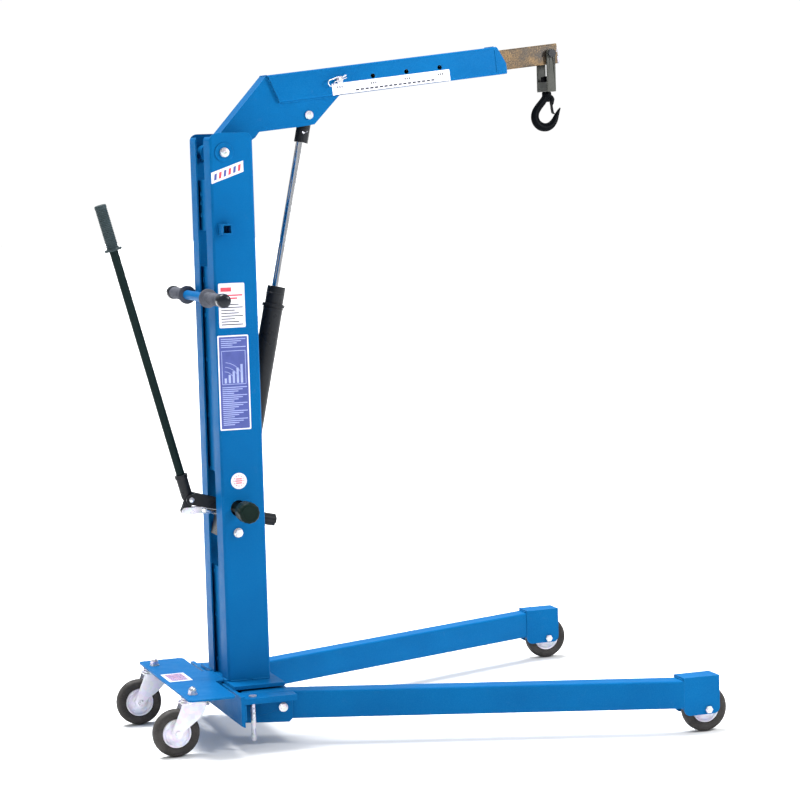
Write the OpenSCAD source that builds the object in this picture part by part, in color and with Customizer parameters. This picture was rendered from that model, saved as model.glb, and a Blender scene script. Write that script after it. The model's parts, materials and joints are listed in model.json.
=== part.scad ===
// Engine hoist crane: folded-plate mast, splayed detachable legs, hydraulic ram with a
// hand pump, and a telescopic boom with a swivel hook. Millimetres, +Z up, +X forward,
// floor at z = 0. Dimensions below are taken from the mast centre line, which stands
// origin_x behind the origin.

/* [Stance] */
// Distance from the origin back to the mast centre line, along X
origin_x = 416.72; // [380:0.01:450]
// Half spacing of the two rear swivel axes
caster_y = 207; // [190:1:225]
// X of the rear swivel axes
caster_x = -184; // [-190:1:-180]
// Trail of the rear wheels behind their swivel axes
trail = 48; // [40:1:50]
// X of the front wheel axles
front_x = 1118; // [1080:1:1160]
// Half spacing of the front wheels
front_y = 546; // [544:1:548]
// Wheel radius
wheel_r = 62.5; // [60:0.5:62.5]
// Width of the tyre tread
wheel_w = 36; // [30:1:38]

/* [Mast] */
// Depth of the mast, front to rear
mast_d = 117; // [112:1:122]
// Width of the mast across its two side channels
mast_w = 210; // [200:1:220]
// Thickness of the folded plate
mast_t = 4; // [3:0.5:5]
// Height of the mast's lower end
mast_z0 = 160; // [160:1:160]
// Height of the mast's upper end
mast_z1 = 1610; // [1600:1:1640]
// Gap between the rear lips
rear_gap = 84; // [76:1:90]
// Gap between the front lips
front_gap = 114; // [100:1:130]
// X of the boom pivot
ax = -20; // [-22:1:-18]
// Height of the boom pivot
az = 1559; // [1557:1:1561]
// X of the ram's foot pivot
bx = -17.3; // [-18:0.1:-16]
// Height of the ram's foot pivot
bz = 557.3; // [556:0.1:559]

/* [Boom] */
// Rise of the boom as stored, in degrees
rise = 5.8; // [5.5:0.1:6.1]
// Width of the boom's outer tube
tube_w = 84; // [80:1:90]
// Height of the boom's outer tube
tube_h = 76; // [74:1:78]
// Side of the square extension bar
bar_s = 55; // [50:1:58]
// Spacing of the locking holes
hole_pitch = 96; // [92:1:98]

/* [Ram] */
// Forward tilt of the ram as stored, in degrees
tilt = 11.9; // [11.8:0.1:12]
// Distance of the ram's axis ahead of its foot pivot
ram_x = 23.3; // [22:0.1:24]
// Height of the ram pin above the foot pivot, along the ram
ram_c = 1123.6; // [1122:0.1:1125]

/* [Lever] */
// Backward lean of the pump lever as stored, in degrees
lever_tilt = 14.7; // [13:0.1:16]
// Length of the lever from the lower end of its socket
lever_len = 818; // [780:1:860]

/* [Legs] */
// Distance of a leg's centre line from the mast's centre plane, beside the mast
leg_y0 = 160.7; // [158:0.1:163]
// Angle between a leg and the X axis, in degrees
splay = 20.25; // [20:0.05:20.5]
// Width of the leg tube
leg_w = 56; // [50:1:58]
// Height of the leg tube
leg_h = 75; // [72:1:76]
// Height of the leg tube's underside
leg_z0 = 70; // [70:1:72]
// Wall of the leg tube
leg_wall = 3.5; // [3:0.5:5]

/* [Hidden] */
$fn = 48;

blue = [0.09, 0.42, 0.76];
zinc = [0.75, 0.74, 0.72];
black = [0.06, 0.06, 0.07];
dark = [0.05, 0.08, 0.08];
rubber = [0.05, 0.05, 0.05];
chromed = [0.85, 0.85, 0.86];
steel = [0.35, 0.31, 0.27];

hx = mast_d / 2;
hy = mast_w / 2;
run = 0.05;
wheel_axle_r = 6;
boom_pin_r = 10;
foot_bolt_r = 8.5;
ram_pin_r = 9.5;
lock_pin_r = 6.5;
hook_bolt_r = 8;
lever_pin_r = 6;
link_pin_r = 5;
valve_r = 6;
rim_r = 38;
// half width and plate of the boom's cranked arm
arm_y = 33;
arm_t = 5;
// wall, corner radius and front end of the boom's outer tube
tube_t = 4;
tube_r = 7;
nose_u = 173.5;
half_h = tube_h / 2;
// mitred rear end of that tube, along its top and its bottom
mitre_top = -475;
mitre_low = -450;
// origin of the boom's own frame, u along the tube and v across it
boom_x = 600;
boom_z = 1769;
function on_boom(u, v) = [boom_x + u * cos(rise) - v * sin(rise), boom_z + u * sin(rise) + v * cos(rise)];
// ram pin on the arm
cx = 237.2;
cz = 1652.1;
// height of the cross holes above the boom's centre line, and the first locking hole
hole_v = 2;
hole_u = -279.5;
// hook bolt along the extension bar, and its place
bolt_u = 338.5;
hook_x = on_boom(bolt_u, hole_v)[0];
bolt_z = on_boom(bolt_u, hole_v)[1];
// hinge of the safety latch
latch_x = 951.5;
latch_z = 1681;
// pin between the lever and its clevis, and the two pins of the link below it
lever_x = -120;
lever_z = 642.1;
link_x = -135.2;
link_z = 611.6;
tail_x = -85.8;
tail_z = 611;
// release valve and plunger, in the ram's frame
valve_x = -10;
valve_z = 64;
plunger_z = 38;
// rear face of the pump block, in the ram's frame
pump_back = -34;
// push bar behind the mast, and the two ends of a grip on it
bar_x = -78;
bar_z = 1181;
grip_y0 = 106;
grip_y1 = 275;
// clamp screw along a leg's socket
screw_x = 74;

// ---- frames and helpers ----
module row() translate([-origin_x, 0, 0]) children();
// children as drawn for the right side (s = -1), mirrored for the left side (s = 1)
module side(s) if (s < 0) children(); else mirror([0, 1, 0]) children();
// solid drawn in an X-Z outline, spread from y0 to y1
module slab(y0, y1)
  translate([0, y1, 0]) rotate([90, 0, 0]) linear_extrude(height = y1 - y0) children();
module cyl_y(x, z, r, y0, y1) translate([x, y1, z]) rotate([90, 0, 0]) cylinder(r = r, h = y1 - y0);
module box(a, b) translate(a) cube([b[0] - a[0], b[1] - a[1], b[2] - a[2]]);
// square from corner a to corner b with its corners rounded
module rrect(a, b, r) {
  translate([a[0] + r, a[1]]) square([b[0] - a[0] - 2 * r, b[1] - a[1]]);
  translate([a[0], a[1] + r]) square([b[0] - a[0], b[1] - a[1] - 2 * r]);
  for (x = [a[0] + r, b[0] - r], y = [a[1] + r, b[1] - r]) translate([x, y]) circle(r = r);
}
// rectangular tube with rounded corners, drawn in Y-Z and run along X from x0 to x1
module tube_x(x0, x1, a, b, r)
  translate([x0, 0, 0]) rotate([90, 0, 90]) linear_extrude(height = x1 - x0) rrect(a, b, r);
module boom_frame() translate([boom_x, 0, boom_z]) rotate([0, -rise, 0]) children();
module ram_frame() translate([bx, 0, bz]) rotate([0, tilt, 0]) children();
module lever_frame() translate([-124, 0, 640]) rotate([0, -lever_tilt, 0]) children();
// runs along the right leg, origin on its centre line beside the mast centre
module leg_frame() translate([0, -leg_y0, 0]) rotate([0, 0, -splay]) children();

// ---- mast ----
module mast_half() {
  difference() {
    translate([0, 0, mast_z0]) linear_extrude(height = mast_z1 - mast_z0) difference() {
      rrect([-hx, -hy], [hx, hy], 8);
      rrect([-hx + mast_t, -hy + mast_t], [hx - mast_t, hy - mast_t], 4);
      translate([-hx - 1, -rear_gap / 2]) square([hx, rear_gap]);
      translate([1, -front_gap / 2]) square([hx, front_gap]);
      translate([-hx - 1, 0]) square([mast_d + 2, hy + 1]);
    }
    // rounded top corners
    for (s = [-1, 1]) difference() {
      box([s > 0 ? hx - 22 : -hx - 1, -hy - 1, mast_z1 - 22], [s > 0 ? hx + 1 : -hx + 22, 0, mast_z1 + 1]);
      cyl_y(s * (hx - 22), mast_z1 - 22, 22, -hy - 2, 1);
    }
    cyl_y(ax, az, boom_pin_r + run, -hy - 1, -hy + mast_t + 1);
    cyl_y(bx, bz, foot_bolt_r + run, -hy - 1, -hy + mast_t + 1);
  }
}
module mast_side_right() color(blue) row() difference() {
  mast_half();
  // clearance hole for the release valve neck
  ram_frame() cyl_y(valve_x, valve_z, 22, -hy - 20, -hy + 20);
}
module mast_side_left() color(blue) row() mirror([0, 1, 0]) mast_half();
module mast_webs() color(blue) row()
  for (z = [[mast_z0, 452], [711, 1258], [1354, 1488]])
    box([-46, -hy + mast_t, z[0]], [-42, hy - mast_t, z[1]]);
module pivot_bosses() color(blue) row() for (s = [-1, 1]) side(s) {
  difference() {
    union() {
      cyl_y(ax, az, 25, -hy - 3, -hy);
      cyl_y(ax, az, 22, -hy + mast_t, -33.6);
    }
    cyl_y(ax, az, boom_pin_r + run, -hy - 4, -33);
  }
}
module boom_pivot_pin() color(zinc) row() {
  cyl_y(ax, az, boom_pin_r, -hy - 9, hy + 9);
  for (s = [-1, 1]) side(s) cyl_y(ax, az, 12.5, -hy - 7, -hy - 3);
}
module foot_pivot_bolt() color(zinc) row() {
  cyl_y(bx, bz, foot_bolt_r, -hy - 12, hy + 12);
  for (s = [-1, 1]) side(s) {
    cyl_y(bx, bz, 14, -hy + mast_t, -35);
    cyl_y(bx, bz, 12.5, -hy - 2.5, -hy);
    translate([bx, -hy - 2.5, bz]) rotate([90, 0, 0]) cylinder(r = 11, h = 8, $fn = 6);
  }
}
module stow_stubs() color(blue) row() for (s = [-1, 1]) side(s)
  difference() {
    box([-43, -hy - 44, 1347], [-17, -hy, 1373]);
    box([-40, -hy - 45, 1350], [-20, -hy - 4, 1370]);
  }

// ---- base ----
module leg_notch(gap) leg_frame() box([-46, -leg_w / 2 - gap, 100], [200, leg_w / 2 + gap, 160]);
module mast_foot() color(blue) row() {
  box([-62, -172, 150], [78, 172, 160]);
  box([-58, -88, 143.5], [58, 88, 150]);
}
module cross_member() color(blue) row() difference() {
  union() {
    box([-68, -259, 72], [-58, 259, 150]);
    // folded lower edge
    intersection() {
      translate([-58, 259, 78]) rotate([90, 0, 0]) cylinder(r = 10, h = 518);
      box([-68, -259, 66], [-58, 259, 80]);
    }
    box([-58, -259, 128], [84, 259, 143.5]);
  }
  for (s = [-1, 1]) side(s) {
    leg_notch(1);
    translate([-30, -235, 120]) cylinder(r = 6.5 + run, h = 30);
  }
}
module leg_socket() difference() {
  leg_frame() difference() {
    box([-42, -leg_w / 2 - 5, 63], [98, leg_w / 2 + 5, 128]);
    box([-50, -leg_w / 2 - 0.8, 69], [110, leg_w / 2 + 0.8, 130]);
    // bevelled lower front corner
    translate([98, 0, 63]) rotate([0, 45, 0]) cube([14, 90, 14], center = true);
    // tapped hole for the clamp screw
    translate([screw_x, 0, 103]) rotate([90, 0, 0]) cylinder(r = 7 + run, h = 60);
  }
  // stays behind the folded web
  box([-100, -400, 0], [-58, 0, 200]);
}
module leg_socket_right() color(blue) row() leg_socket();
module leg_socket_left() color(blue) row() mirror([0, 1, 0]) leg_socket();
module socket_screws() color(zinc) row() for (s = [-1, 1]) side(s) leg_frame()
  translate([screw_x, 0, 103]) rotate([90, 0, 0]) {
    translate([0, 0, leg_w / 2 + 0.2]) cylinder(r = 7, h = 12);
    translate([0, 0, leg_w / 2 + 5]) cylinder(r = 12, h = 1.5);
    translate([0, 0, leg_w / 2 + 6.5]) cylinder(r = 11, h = 8, $fn = 6);
  }
module caster_plate() color(blue) row() difference() {
  union() {
    translate([0, 0, 153.6]) linear_extrude(height = 5) rrect([-212, -281], [-86, 281], 14);
    box([-90, -70, 153.6], [-62, 70, 158.6]);
    // two stiffening ribs down to the folded web
    for (s = [-1, 1]) box([-150, s * 66 - 3, 126], [-68, s * 66 + 3, 153.6]);
  }
  for (s = [-1, 1]) translate([caster_x, s * caster_y, 150]) cylinder(r = 7 + run, h = 12);
}
module caster_studs() color(zinc) row() for (s = [-1, 1]) translate([caster_x, s * caster_y, 0]) {
  translate([0, 0, 138]) cylinder(r = 7, h = 34);
  translate([0, 0, 134.5]) cylinder(r = 10, h = 4);
  translate([0, 0, 158.6]) cylinder(r = 13, h = 2.5);
  translate([0, 0, 161.1]) cylinder(r = 11.5, h = 9, $fn = 6);
  translate([0, 0, 170.1]) intersection() {
    sphere(r = 9.5);
    translate([-12, -12, 0]) cube([24, 24, 12]);
  }
}
module push_bar() color(blue) row() difference() {
  union() {
    cyl_y(bar_x, bar_z, 12.5, -grip_y1 + 19, grip_y1 - 19);
    for (s = [-1, 1]) box([bar_x + 4, s * 62 - 16, bar_z - 9], [-hx, s * 62 + 16, bar_z + 9]);
  }
  cyl_y(bar_x, bar_z, 9.5, -grip_y1, grip_y1);
}
module push_grip() difference() {
  union() {
    cyl_y(bar_x, bar_z, 16.5, -grip_y1 + 13, -grip_y0);
    cyl_y(bar_x, bar_z, 25, -grip_y0 - 6, -grip_y0);
    cyl_y(bar_x, bar_z, 18.5, -grip_y1 + 8, -grip_y1 + 28);
    translate([bar_x, -grip_y1 + 8, bar_z]) rotate([90, 0, 0]) cylinder(r1 = 18.5, r2 = 12, h = 8);
  }
  cyl_y(bar_x, bar_z, 12.5 + run, -grip_y1 + 18.5, -90);
}
module push_grip_right() color(dark) row() push_grip();
module push_grip_left() color(dark) row() mirror([0, 1, 0]) push_grip();

// ---- boom ----
// back edge of the cranked arm, from its foot up to the tube's mitre
back_foot = [-40, 1575];
back_top = on_boom(mitre_top, half_h);
// outline of the arm's cheeks, in X-Z, running along the mitre and the tube's underside
module arm_outline() {
  translate([ax, az]) circle(r = 27);
  polygon([back_foot, back_top, on_boom(mitre_low, -half_h), on_boom(-281, -half_h),
           [252, 1627], [216, 1622], [98, 1610.5], [86, 1595.5], [-9, 1534.3], [ax, az]]);
}
module arm_cheek() difference() {
  slab(-arm_y, -arm_y + arm_t) arm_outline();
  cyl_y(ax, az, boom_pin_r + run, -40, 0);
  cyl_y(cx, cz, ram_pin_r + run, -40, 0);
}
module arm_cheek_right() color(blue) row() arm_cheek();
module arm_cheek_left() color(blue) row() mirror([0, 1, 0]) arm_cheek();
// plate that closes the back of the arm between its cheeks
module arm_cover() color(blue) row() slab(-arm_y + arm_t, arm_y - arm_t)
  polygon([back_foot, back_top, back_top + [2.1, -5], back_foot + [3.7, -3.3]]);
module arm_sleeve() color(blue) row() difference() {
  cyl_y(ax, az, 19, -arm_y + arm_t, arm_y - arm_t);
  cyl_y(ax, az, boom_pin_r + run, -40, 40);
}
module boom_section(x0, x1, wall) tube_x(x0, x1, [-tube_w / 2 + wall, -half_h + wall],
  [tube_w / 2 - wall, half_h - wall], tube_r - wall / 2);
// outer tube, with a mitred and closed rear end
module boom_tube() color(blue) row() boom_frame() difference() {
  intersection() {
    boom_section(-500, nose_u, 0);
    slab(-50, 50)
      polygon([[mitre_top, half_h], [nose_u, half_h], [nose_u, -half_h], [mitre_low, -half_h]]);
  }
  intersection() {
    boom_section(-500, nose_u + 1, tube_t);
    slab(-50, 50) polygon([[mitre_top + 5.5, half_h - tube_t], [nose_u + 1, half_h - tube_t],
                           [nose_u + 1, tube_t - half_h], [mitre_low + 2.9, tube_t - half_h]]);
  }
  lock_holes();
}
module lock_holes() for (i = [0:3])
  cyl_y(hole_u + i * hole_pitch, hole_v, lock_pin_r + run, -50, 50);
module boom_nose() color(blue) row() boom_frame() difference() {
  intersection() {
    boom_section(nose_u, 210, 0);
    slab(-50, 50) polygon([[nose_u, half_h], [180, half_h], [202, -10], [202, -half_h], [nose_u, -half_h]]);
  }
  box([160, -bar_s / 2 - 0.6, -bar_s / 2 - 0.6], [220, bar_s / 2 + 0.6, bar_s / 2 + 0.6]);
}
module ram_pin_heads() color(zinc) row() for (s = [-1, 1]) side(s) {
  cyl_y(cx, cz, ram_pin_r, -38, -26);
  cyl_y(cx, cz, 11.5, -36, -33);
}
module extension_bar() color(steel) row() boom_frame() difference() {
  tube_x(-300, 362, [-bar_s / 2, -bar_s / 2], [bar_s / 2, bar_s / 2], 4);
  tube_x(-301, 363, [-bar_s / 2 + 5, -bar_s / 2 + 5], [bar_s / 2 - 5, bar_s / 2 - 5], 2);
  lock_holes();
  cyl_y(bolt_u, hole_v, hook_bolt_r + run, -50, 50);
}
module hook_bolt() color(black) row() boom_frame() {
  cyl_y(bolt_u, hole_v, hook_bolt_r, -46, 48);
  for (y = [-40, 48]) translate([bolt_u, y, hole_v]) rotate([90, 0, 0]) cylinder(r = 12, h = 8, $fn = 6);
}
// straight wire of the spring clip, from (u0, v0) to (u1, v1) across the pin's end
module clip_wire(u0, v0, u1, v1) translate([u0, -54, v0])
  rotate([0, atan2(u1 - u0, v1 - v0), 0]) cylinder(r = 1.5, h = norm([u1 - u0, v1 - v0]), $fn = 16);
module lock_pin() color(zinc) row() boom_frame() {
  cyl_y(hole_u, hole_v, lock_pin_r, -58, -30);
  cyl_y(hole_u, hole_v, 9, -50, -43);
  // eye of the spring clip
  translate([-306, -54, -3]) rotate([90, 0, 0])
    rotate_extrude() translate([8.5, 0]) circle(r = 1.5, $fn = 16);
  clip_wire(-305, -3, -262, 6);
  clip_wire(-304, 5.4, -262, 13);
}
module shackle() color(black) row() difference() {
  union() {
    for (s = [-1, 1]) side(s) slab(-39, -32) {
      translate([hook_x, bolt_z]) circle(r = 12.5);
      translate([hook_x - 12.5, 1701]) square([25, bolt_z - 1701]);
    }
    box([hook_x - 12.5, -39, 1701], [hook_x + 12.5, 39, 1728]);
  }
  cyl_y(hook_x, bolt_z, hook_bolt_r + run, -60, 60);
  translate([hook_x, 0, 1690]) cylinder(r = hook_bolt_r + run, h = 50);
}
module hook() color(black) row() {
  translate([hook_x, 0, 1686]) cylinder(r = hook_bolt_r, h = 58);
  translate([hook_x, 0, 1728.4]) cylinder(r = 15, h = 13);
  translate([hook_x, 0, 1684]) cylinder(r1 = 11, r2 = 13, h = 16.6);
  // slanted neck
  translate([903, 0, 1645.5]) rotate([0, 35.4, 0]) cylinder(r = 11.6, h = 54);
  translate([934.3, 0, 1689.5]) sphere(r = 11.8);
  // bowl
  translate([930.5, 0, 1633]) rotate([90, 0, 0]) rotate([0, 0, 157])
    rotate_extrude(angle = 180) translate([30, 0]) circle(r = 12.5);
  // tapered tip
  translate([958, 0, 1621]) rotate([0, 27, 0]) cylinder(r1 = 12, r2 = 2, h = 38);
  // lug of the safety latch
  difference() {
    slab(-4, 4) polygon([[930, 1698], [944, 1698], [957, 1685], [955, 1676], [930, 1672]]);
    cyl_y(latch_x, latch_z, 3.2 + run, -10, 10);
  }
}
module latch() color(zinc) row() translate([latch_x, 0, latch_z]) {
  cyl_y(0, 0, 3.2, -8, 8);
  for (s = [-1, 1]) side(s) box([-3, -6.4, -14], [3, -4.8, 4]);
  box([-1.2, -6.4, -40], [1.2, 6.4, -12]);
}

// ---- ram and pump ----
module cylinder_tube() color(black) row() ram_frame() translate([ram_x, 0, 0]) difference() {
  union() {
    translate([0, 0, 75]) cylinder(r = 26.5, h = 535);
    translate([0, 0, 604]) cylinder(r = 30.5, h = 9);
  }
  translate([0, 0, 95]) cylinder(r = 22, h = 600);
}
module gland_nut() color(black) row() ram_frame() translate([ram_x, 0, 0]) difference() {
  union() {
    translate([0, 0, 613]) cylinder(r = 24.5, h = 47);
    translate([0, 0, 590]) cylinder(r = 22, h = 23);
  }
  translate([0, 0, 580]) cylinder(r = 13 + run, h = 100);
}
module pump_block() color(black) row() ram_frame() difference() {
  union() {
    box([pump_back, -34, -22], [50, 34, 60]);
    translate([ram_x, 0, 55]) cylinder(r = 33, h = 20);
    box([pump_back, -26, 56], [10, 26, 75]);
  }
  cyl_y(0, 0, foot_bolt_r + run, -50, 50);
  // plunger bore
  translate([-50, 0, plunger_z]) rotate([0, 90, 0]) cylinder(r = 8 + run, h = 80);
  // release valve bore
  cyl_y(valve_x, valve_z, valve_r + run, -40, -12);
}
module pump_barrel() color(black) row() ram_frame() translate([50, 0, plunger_z]) rotate([0, 90, 0]) {
  cylinder(r = 16.5, h = 75);
  translate([0, 0, 75]) cylinder(r = 11, h = 4, $fn = 6);
}
module lever_clevis() color(black) row() {
  difference() {
    for (s = [-1, 1]) side(s) slab(-21.5, -16.5) clevis_outline();
    cyl_y(lever_x, lever_z, lever_pin_r, -30, 30);
  }
  cyl_y(lever_x, lever_z, lever_pin_r, -26, 26);
}
module clevis_outline() {
  translate([lever_x, lever_z]) circle(r = 13.8);
  translate([bx, bz]) rotate(-tilt)
    polygon([[pump_back, 46], [-118, 48], [-121, 75], [-110, 80.5], [pump_back, 75]]);
}
module ram_rod() color(chromed) row() ram_frame() translate([ram_x, 0, 0]) {
  translate([0, 0, 345]) cylinder(r = 13, h = 705);
  translate([0, 0, 330]) cylinder(r = 22 - run, h = 26);
}
module rod_end() color(black) row() ram_frame() translate([ram_x, 0, 0]) difference() {
  union() {
    translate([0, 0, 1050]) cylinder(r = 18.5, h = 56);
    cyl_y(0, ram_c, 20, -16, 16);
  }
  cyl_y(0, ram_c, 12.5, -20, 20);
}
module lever_socket() color(black) row() {
  difference() {
    union() {
      lever_frame() {
        translate([0, 0, 8]) cylinder(r = 15.5, h = 62);
        translate([0, 0, 62]) cylinder(r = 17.5, h = 9);
      }
      slab(-9, 9) {
        translate([lever_x, lever_z]) circle(r = 12);
        translate([link_x, link_z]) circle(r = 9);
        polygon([[-131, 647], [-109, 638], [-127, 607.5], [-143.5, 615]]);
      }
    }
    lever_frame() translate([0, 0, 24]) cylinder(r = 11.5 + run, h = 60);
    cyl_y(lever_x, lever_z, lever_pin_r + run, -20, 20);
    cyl_y(link_x, link_z, link_pin_r + run, -20, 20);
  }
}
module handle_tube() color(dark) row() lever_frame() difference() {
  translate([0, 0, 24.3]) cylinder(r = 11.5, h = lever_len - 30);
  translate([0, 0, 20]) cylinder(r = 8.5, h = lever_len - 40);
}
module handle_grip() color(dark) row() lever_frame() difference() {
  union() {
    translate([0, 0, 697]) cylinder(r = 16, h = lever_len - 697);
    translate([0, 0, 694]) cylinder(r = 24, h = 5);
  }
  translate([0, 0, 690]) cylinder(r = 11.5 + run, h = lever_len - 695.65);
}
module link_plates() color(zinc) row() {
  for (s = [-1, 1]) side(s) slab(-13, -10) difference() {
    union() {
      translate([link_x, link_z]) circle(r = 9);
      translate([tail_x, tail_z]) circle(r = 9);
      polygon([[link_x, link_z - 9], [tail_x, tail_z - 9], [tail_x, tail_z + 9], [link_x, link_z + 9]]);
    }
    // oversize hole, which takes up the small drift of the straight-line plunger
    translate([tail_x, tail_z]) circle(r = link_pin_r + 2.2);
  }
  cyl_y(link_x, link_z, link_pin_r, -15.5, 15.5);
}
module plunger() color(chromed) row() {
  ram_frame() translate([-88, 0, plunger_z]) rotate([0, 90, 0]) cylinder(r = 8, h = 74);
  ram_frame() cyl_y(-78.2, plunger_z, link_pin_r, -15.5, 15.5);
}
module release_knob() color(black) row() ram_frame() {
  cyl_y(valve_x, valve_z, valve_r, -40, -14);
  cyl_y(valve_x, valve_z, 14, -160, -36);
  cyl_y(valve_x, valve_z, 28, -212, -160);
  cyl_y(valve_x, valve_z, 25, -216, -160);
}

// ---- wheels, casters, legs ----
module tyre(x, y) translate([x, y, wheel_r]) rotate([90, 0, 0]) rotate_extrude() {
  translate([rim_r + 0.2, -wheel_w / 2 + 4]) square([8, wheel_w - 8]);
  translate([44, -wheel_w / 2 + 2]) square([12.5, wheel_w - 4]);
  translate([44, -wheel_w / 2 + 6]) square([18.5, wheel_w - 12]);
  for (s = [-1, 1]) translate([56.5, s * (wheel_w / 2 - 8)]) circle(r = 6);
}
module hub(x, y) translate([x, y, wheel_r]) rotate([90, 0, 0]) difference() {
  union() {
    difference() {
      cylinder(r = rim_r, h = 30, center = true);
      for (s = [-1, 1]) translate([0, 0, s * 13]) cylinder(r = rim_r - 3.5, h = 16, center = true);
    }
    cylinder(r = 24, h = 16, center = true);
    cylinder(r = 15, h = 40, center = true);
  }
  cylinder(r = wheel_axle_r + run, h = 60, center = true);
}
wy = caster_y;
wx = caster_x - trail;
module caster_fork() difference() {
  union() {
    for (s = [-1, 1]) slab(-wy + (s > 0 ? 23 : -26), -wy + (s > 0 ? 26 : -23)) {
      translate([wx, wheel_r]) circle(r = 15);
      polygon([[wx - 15, wheel_r], [wx + 12, wheel_r - 9], [caster_x + 31, 118],
               [caster_x + 31, 142], [caster_x - 34, 142]]);
    }
    box([caster_x - 34, -wy - 26, 138.8], [caster_x + 31, -wy + 26, 142]);
    translate([caster_x, -wy, 142]) cylinder(r = 30, h = 11.2);
  }
  translate([caster_x, -wy, 130]) cylinder(r = 7 + run, h = 40);
  cyl_y(wx, wheel_r, wheel_axle_r + run, -wy - 40, -wy + 40);
}
module caster_axle() {
  cyl_y(wx, wheel_r, wheel_axle_r, -wy - 32, -wy + 32);
  for (y = [-wy + 31.5, -wy - 26]) translate([wx, y, wheel_r]) rotate([90, 0, 0])
    cylinder(r = 9.5, h = 5.5, $fn = 6);
}
module caster_fork_right() color(zinc) row() caster_fork();
module caster_fork_left() color(zinc) row() mirror([0, 1, 0]) caster_fork();
module caster_axle_right() color(zinc) row() caster_axle();
module caster_axle_left() color(zinc) row() mirror([0, 1, 0]) caster_axle();
module rear_tyre_right() color(rubber) row() tyre(wx, -wy);
module rear_tyre_left() color(rubber) row() tyre(wx, wy);
module rear_hub_right() color(zinc) row() hub(wx, -wy);
module rear_hub_left() color(zinc) row() hub(wx, wy);

module leg_tube() intersection() {
  leg_frame() difference() {
    tube_x(-36, 1200, [-leg_w / 2, leg_z0], [leg_w / 2, leg_z0 + leg_h], 7);
    tube_x(-37, 1201, [-leg_w / 2 + leg_wall, leg_z0 + leg_wall],
           [leg_w / 2 - leg_wall, leg_z0 + leg_h - leg_wall], 3.5);
  }
  box([-200, -1000, 0], [front_x - 70, 0, 300]);
}
module bracket_side() {
  translate([front_x - 70 + 18, 68]) circle(r = 18);
  translate([front_x + 33 - 18, 68]) circle(r = 18);
  polygon([[front_x - 70, 68], [front_x - 52, 50], [front_x + 15, 50],
           [front_x + 33, 68], [front_x + 33, 152], [front_x - 70, 152]]);
}
module wheel_bracket() difference() {
  union() {
    slab(-front_y - 31, -front_y - 27) bracket_side();
    slab(-front_y + 27, -front_y + 31) bracket_side();
    box([front_x - 70, -front_y - 31, 148], [front_x + 33, -front_y + 31, 152]);
    box([front_x - 70, -front_y - 31, 66], [front_x - 66, -front_y + 31, 152]);
  }
  cyl_y(front_x, wheel_r, wheel_axle_r + run, -front_y - 40, -front_y + 40);
}
module front_axle() {
  cyl_y(front_x, wheel_r, wheel_axle_r, -front_y - 39, -front_y + 39);
  for (y = [-front_y - 31, -front_y + 37]) translate([front_x, y, wheel_r]) rotate([90, 0, 0])
    cylinder(r = 10.5, h = 6, $fn = 6);
}
module leg_tube_right() color(blue) row() leg_tube();
module leg_tube_left() color(blue) row() mirror([0, 1, 0]) leg_tube();
module wheel_bracket_right() color(blue) row() wheel_bracket();
module wheel_bracket_left() color(blue) row() mirror([0, 1, 0]) wheel_bracket();
module front_axle_right() color(zinc) row() front_axle();
module front_axle_left() color(zinc) row() mirror([0, 1, 0]) front_axle();
module front_tyre_right() color(rubber) row() tyre(front_x, -front_y);
module front_tyre_left() color(rubber) row() tyre(front_x, front_y);
module front_hub_right() color(zinc) row() hub(front_x, -front_y);
module front_hub_left() color(zinc) row() hub(front_x, front_y);
module drop_pin() difference() {
  union() {
    translate([-30, -235, 30]) cylinder(r = 6.5, h = 116);
    translate([-30, -235, 143.6]) cylinder(r = 10.5, h = 3);
    translate([-30, -235, 26]) cylinder(r1 = 4.5, r2 = 6.5, h = 4);
  }
  for (z = [112, 100]) cyl_y(-30, z, 1.6, -250, -220);
}
module drop_pin_right() color(zinc) row() drop_pin();
module drop_pin_left() color(zinc) row() mirror([0, 1, 0]) drop_pin();

mast_side_right();
mast_side_left();
mast_webs();
pivot_bosses();
boom_pivot_pin();
foot_pivot_bolt();
stow_stubs();
mast_foot();
cross_member();
leg_socket_right();
leg_socket_left();
socket_screws();
caster_plate();
caster_studs();
push_bar();
push_grip_right();
push_grip_left();
arm_cheek_right();
arm_cheek_left();
arm_cover();
arm_sleeve();
boom_tube();
boom_nose();
ram_pin_heads();
extension_bar();
hook_bolt();
lock_pin();
shackle();
hook();
latch();
cylinder_tube();
gland_nut();
pump_block();
pump_barrel();
lever_clevis();
ram_rod();
rod_end();
lever_socket();
handle_tube();
handle_grip();
link_plates();
plunger();
release_knob();
caster_fork_right();
caster_fork_left();
caster_axle_right();
caster_axle_left();
rear_tyre_right();
rear_tyre_left();
rear_hub_right();
rear_hub_left();
leg_tube_right();
leg_tube_left();
wheel_bracket_right();
wheel_bracket_left();
front_axle_right();
front_axle_left();
front_tyre_right();
front_tyre_left();
front_hub_right();
front_hub_left();
drop_pin_right();
drop_pin_left();
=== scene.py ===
"""Looks of the engine hoist crane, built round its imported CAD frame."""

import json
import math

import bmesh
import bpy
from mathutils import Matrix, Vector


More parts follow.
